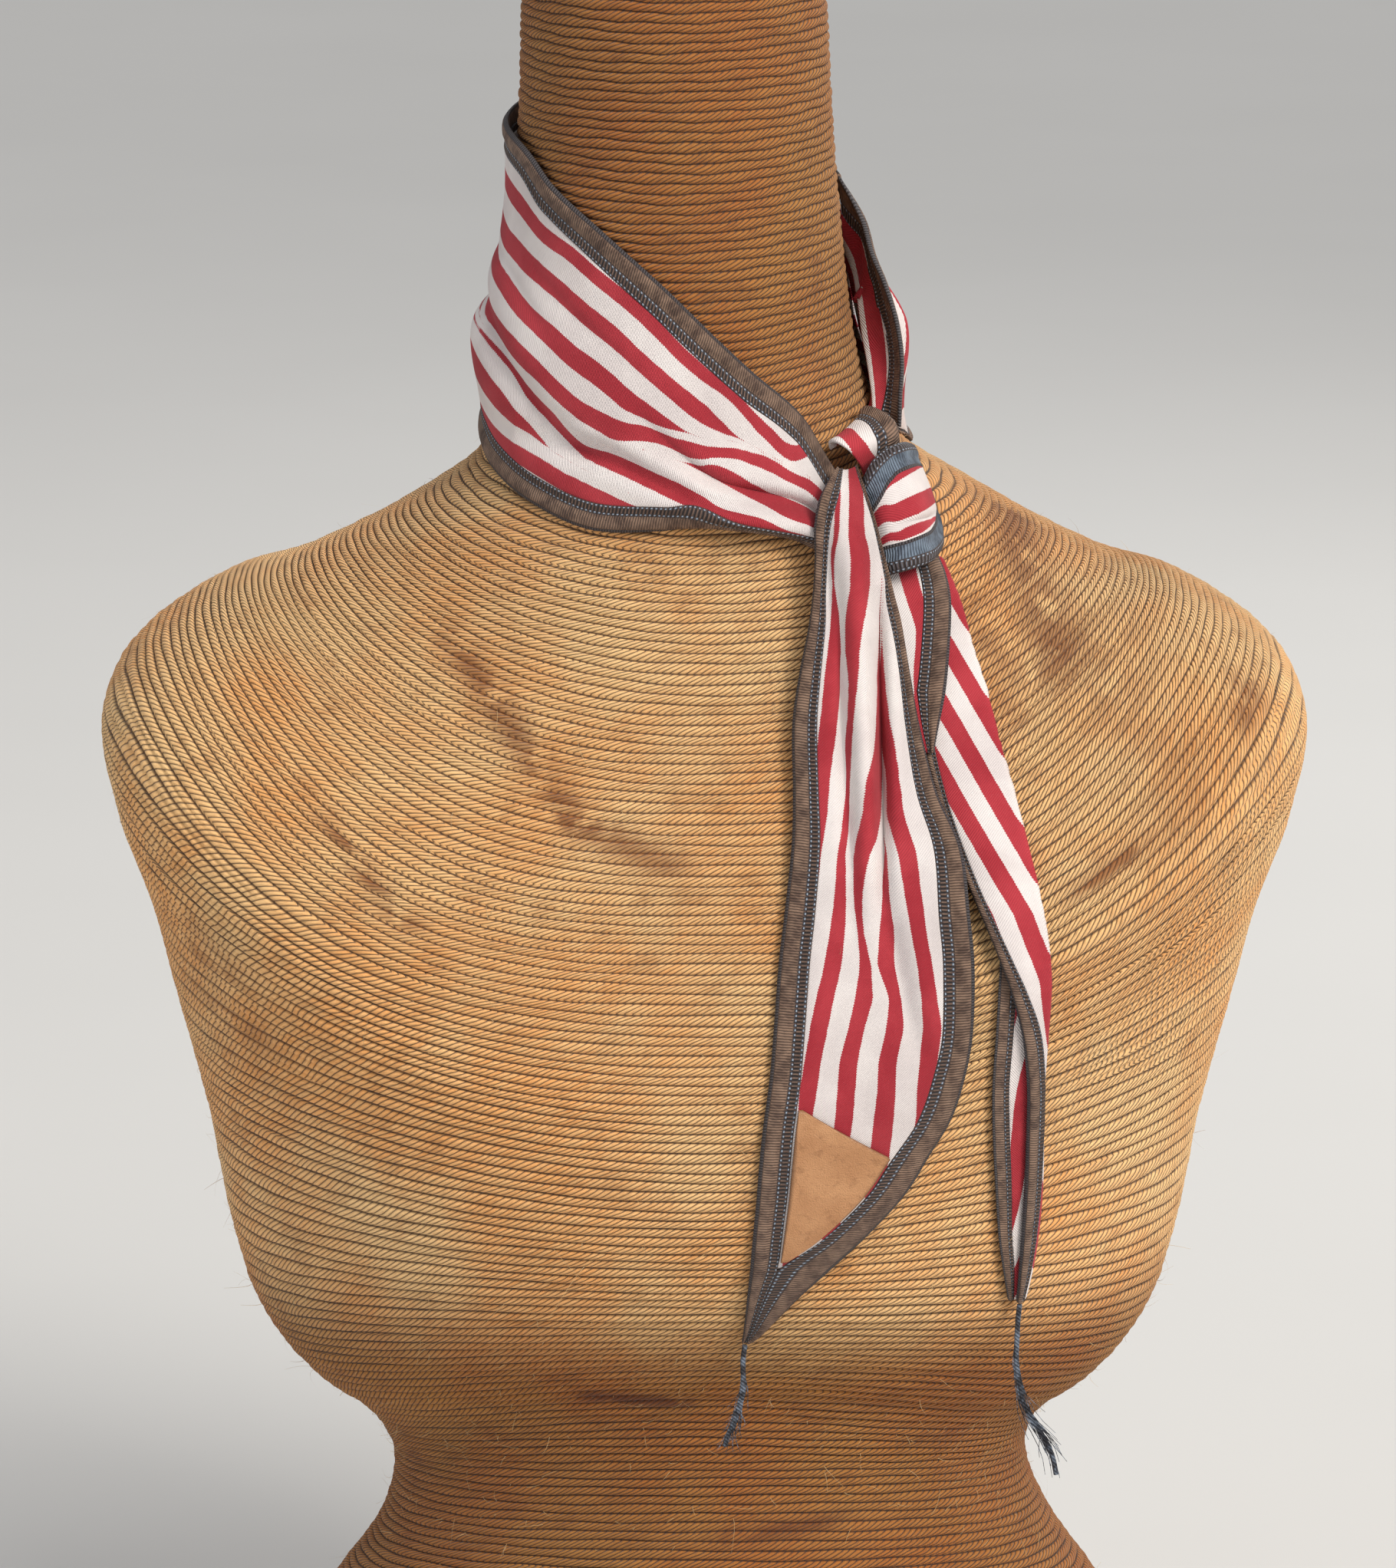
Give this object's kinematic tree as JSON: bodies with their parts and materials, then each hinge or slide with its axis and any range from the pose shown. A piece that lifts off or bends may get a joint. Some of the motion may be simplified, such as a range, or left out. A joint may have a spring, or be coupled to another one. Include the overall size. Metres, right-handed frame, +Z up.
{
  "type": "neck scarf on dress form",
  "caption": "Slim striped cotton neck scarf with stitched borders, knotted at one side of the neck of a limbless dress form wound with twine, its pointed ends hanging down the chest.",
  "frame": {"origin": "on the surface that the form stands on, below the middle of the whole part's outline seen from above", "axes": "+Z up, the form's front and the hanging ends face -Y, +X to the right seen from the front"},
  "size_m": [0.3846, 0.2156, 0.658],
  "materials": {
    "striped_cotton": "plain woven cotton, red and white stripes 6 mm wide, matt with a slight sheen",
    "stitched_border": "dense brown stitching with a dark edge and a ladder of blue-grey stitches",
    "leather": "tan veg leather, smooth with a fine grain, worn edges",
    "twine": "twisted natural twine wound in close turns, dry and hairy",
    "thread": "dark sewing thread, a few ends side by side"
  },
  "bodies": {
    "root": {"dress_form": "twine", "neck_band": "striped_cotton", "right_strand": "striped_cotton", "knot_loop": "striped_cotton", "knot_wrap": "striped_cotton", "front_tail": "striped_cotton", "rear_turnover": "striped_cotton", "rear_tail": "striped_cotton", "neck_band_top_border": "stitched_border", "neck_band_hem_border": "stitched_border", "right_strand_top_border": "stitched_border", "right_strand_hem_border": "stitched_border", "knot_loop_right_border": "stitched_border", "knot_wrap_top_border": "stitched_border", "knot_wrap_bottom_border": "stitched_border", "front_tail_left_border": "stitched_border", "front_tail_right_border": "stitched_border", "rear_turnover_border": "stitched_border", "rear_tail_front_border": "stitched_border", "rear_tail_back_border": "stitched_border", "label": "leather", "front_thread": "thread", "rear_thread": "thread"}
  },
  "joints": []
}
